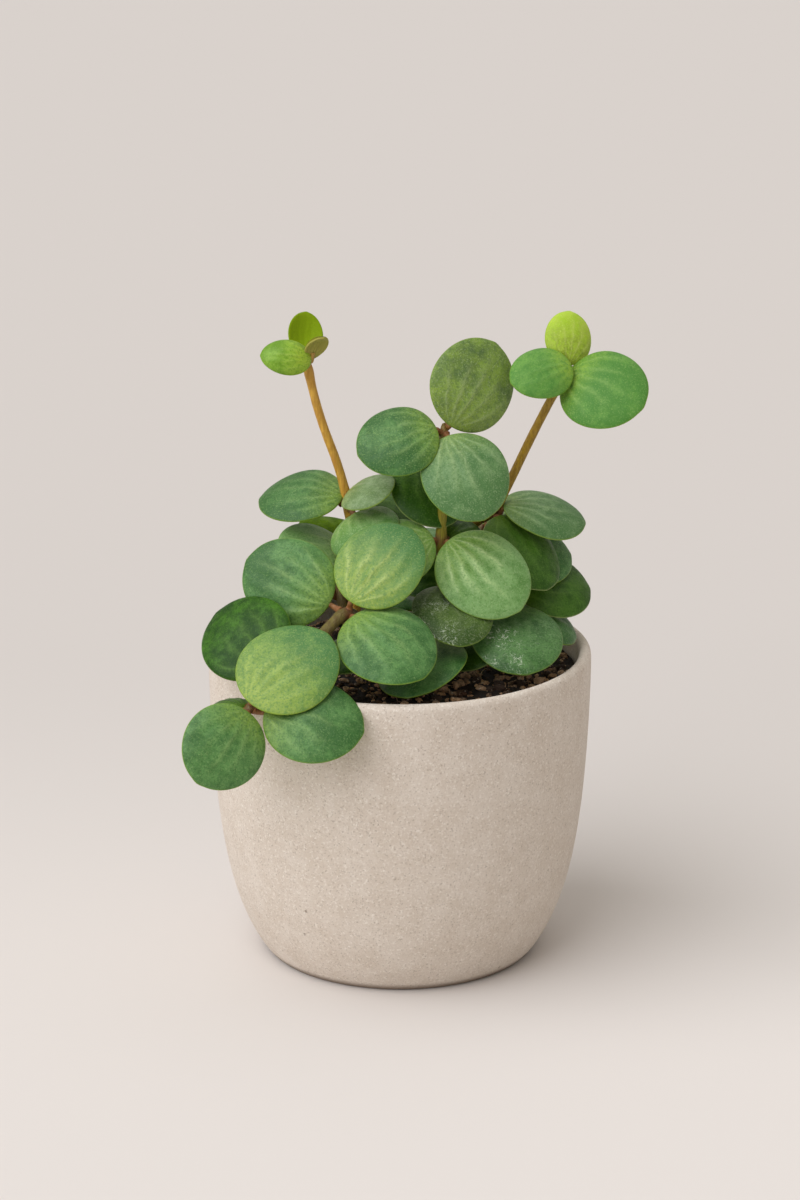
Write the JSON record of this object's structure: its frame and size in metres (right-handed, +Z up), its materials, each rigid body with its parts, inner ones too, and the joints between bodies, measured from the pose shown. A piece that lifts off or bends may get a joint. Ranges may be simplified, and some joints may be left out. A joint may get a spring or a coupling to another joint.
{
  "type": "potted peperomia",
  "caption": "Small trailing peperomia with round fleshy leaves, rooted in a plain tapered stoneware pot filled with soil.",
  "frame": {"origin": "centre of the pot's flat foot, on the surface that it stands on", "axes": "+Z up along the pot's axis, -Y towards the front, +X to the right seen from the front"},
  "size_m": [0.1341, 0.1341, 0.1942],
  "materials": {
    "stoneware": "matte",
    "soil": "matte",
    "mature_stem": "satin",
    "young_stem": "satin",
    "leaf_mature": "satin",
    "leaf_light": "satin",
    "leaf_young": "satin",
    "leaf_dark": "satin"
  },
  "bodies": {
    "root": {"leaf_back_left_low_back": "leaf_mature", "leaf_back_left_low_left": "leaf_dark", "leaf_back_left_low_right": "leaf_mature", "leaf_back_left_top_back": "leaf_mature", "leaf_back_left_top_left": "leaf_mature", "leaf_back_right_low_back": "leaf_mature", "leaf_back_right_low_left": "leaf_dark", "leaf_back_right_low_right": "leaf_dark", "leaf_back_right_top_back": "leaf_mature", "leaf_back_right_top_right": "leaf_mature", "leaf_centre_low_front": "leaf_mature", "leaf_centre_middle_back": "leaf_dark", "leaf_centre_middle_front": "leaf_light", "leaf_centre_middle_left": "leaf_mature", "leaf_centre_middle_right": "leaf_dark", "leaf_centre_root_front": "leaf_dark", "leaf_centre_top_back": "leaf_mature", "leaf_centre_top_front": "leaf_mature", "leaf_centre_top_left": "leaf_mature", "leaf_right_low_front": "leaf_mature", "leaf_right_low_left": "leaf_dark", "leaf_right_low_right": "leaf_mature", "leaf_right_middle_right": "leaf_mature", "leaf_right_top_back": "leaf_dark", "leaf_right_top_right": "leaf_mature", "leaf_tall_left_low_back": "leaf_dark", "leaf_tall_left_low_front": "leaf_dark", "leaf_tall_left_low_left": "leaf_mature", "leaf_tall_left_middle_back": "leaf_dark", "leaf_tall_left_middle_front": "leaf_mature", "leaf_tall_left_middle_left": "leaf_mature", "leaf_tall_left_middle_right": "leaf_mature", "leaf_tall_left_top_back": "leaf_young", "leaf_tall_left_top_left": "leaf_young", "leaf_tall_left_top_right": "leaf_young", "leaf_tall_right_low_back": "leaf_mature", "leaf_tall_right_middle_back": "leaf_dark", "leaf_tall_right_middle_front": "leaf_mature", "leaf_tall_right_middle_right": "leaf_mature", "leaf_tall_right_top_back": "leaf_young", "leaf_tall_right_top_left": "leaf_light", "leaf_tall_right_top_right": "leaf_mature", "leaf_trailing_arch_back": "leaf_light", "leaf_trailing_arch_front": "leaf_mature", "leaf_trailing_arch_left": "leaf_mature", "leaf_trailing_bend_left": "leaf_dark", "leaf_trailing_end_back": "leaf_dark", "leaf_trailing_end_left": "leaf_mature", "leaf_trailing_end_right": "leaf_mature", "leaf_trailing_end_top": "leaf_light", "leaf_trailing_low_front": "leaf_dark", "pot": "stoneware", "soil": "soil", "stem_back_left": "mature_stem", "stem_back_right": "mature_stem", "stem_centre": "mature_stem", "stem_right": "mature_stem", "stem_tall_left": "young_stem", "stem_tall_right": "young_stem", "stem_trailing": "mature_stem"}
  },
  "joints": []
}
